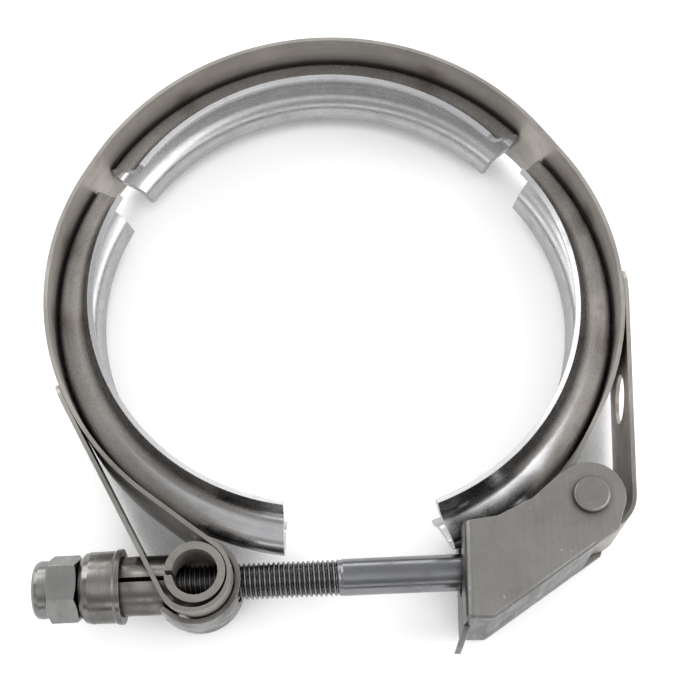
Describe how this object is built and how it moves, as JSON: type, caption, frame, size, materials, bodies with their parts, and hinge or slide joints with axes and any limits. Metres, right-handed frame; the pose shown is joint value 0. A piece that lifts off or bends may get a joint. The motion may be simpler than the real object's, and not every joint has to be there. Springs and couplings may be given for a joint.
{
  "type": "v band clamp",
  "caption": "Quick-release V-band clamp: sheet ring with grooved segments inside, folded latch, T-bolt, collar and locknut. It joins two flanged tubes.",
  "frame": {"origin": "centre of the arc in which the top segment lies, in the middle of the band's width", "axes": "+Z along the clamp's axis, towards the side that is seen from above; +X from the nut towards the latch; +Y from the closure towards the top segment"},
  "size_m": [0.1325, 0.1475, 0.0286],
  "materials": {
    "strip_steel": "satin rolled stainless",
    "segment_steel": "satin formed stainless",
    "latch_steel": "satin with fine brushing",
    "polished_steel": "smooth, slightly stained",
    "bolt_steel": "smooth shank with rolled thread",
    "nut_steel": "bright turned",
    "insert_nylon": "plain nylon"
  },
  "bodies": {
    "ring": {"band": "strip_steel", "segment_top": "segment_steel", "segment_left": "segment_steel", "segment_right": "segment_steel", "pivot_bush": "strip_steel", "rivet": "nut_steel"},
    "latch": {"latch": "latch_steel"},
    "saddle": {"trunnion_tube": "strip_steel", "saddle": "polished_steel", "collar": "polished_steel"},
    "bolt": {"t_bolt": "bolt_steel"},
    "nut": {"locknut": "nut_steel", "nut_insert": "insert_nylon"}
  },
  "joints": [
    {"name": "latch_pivot", "type": "hinge", "parent": "ring", "child": "latch", "pos_m": [0.0562, -0.0548, 0], "axis": [0, 0, 1], "range_deg": [-1, 7]},
    {"name": "bolt_swing", "type": "hinge", "parent": "ring", "child": "saddle", "pos_m": [-0.0268, -0.0709, 0], "axis": [0, 0, 1], "range_deg": [-0.6, 0.2]},
    {"name": "bolt_draw", "type": "slide", "parent": "saddle", "child": "bolt", "axis": [-0.9989, -0.0464, 0], "range_m": [-0.002, 0.0012]},
    {"name": "nut_turn", "type": "hinge", "parent": "saddle", "child": "nut", "pos_m": [-0.0568, -0.0723, 0], "axis": [-0.9989, -0.0464, 0], "range_deg": [-690, 415]}
  ],
  "couplings": [
    {"joint": "nut_turn", "follows": "bolt_draw", "rad_per_m": 5937}
  ]
}
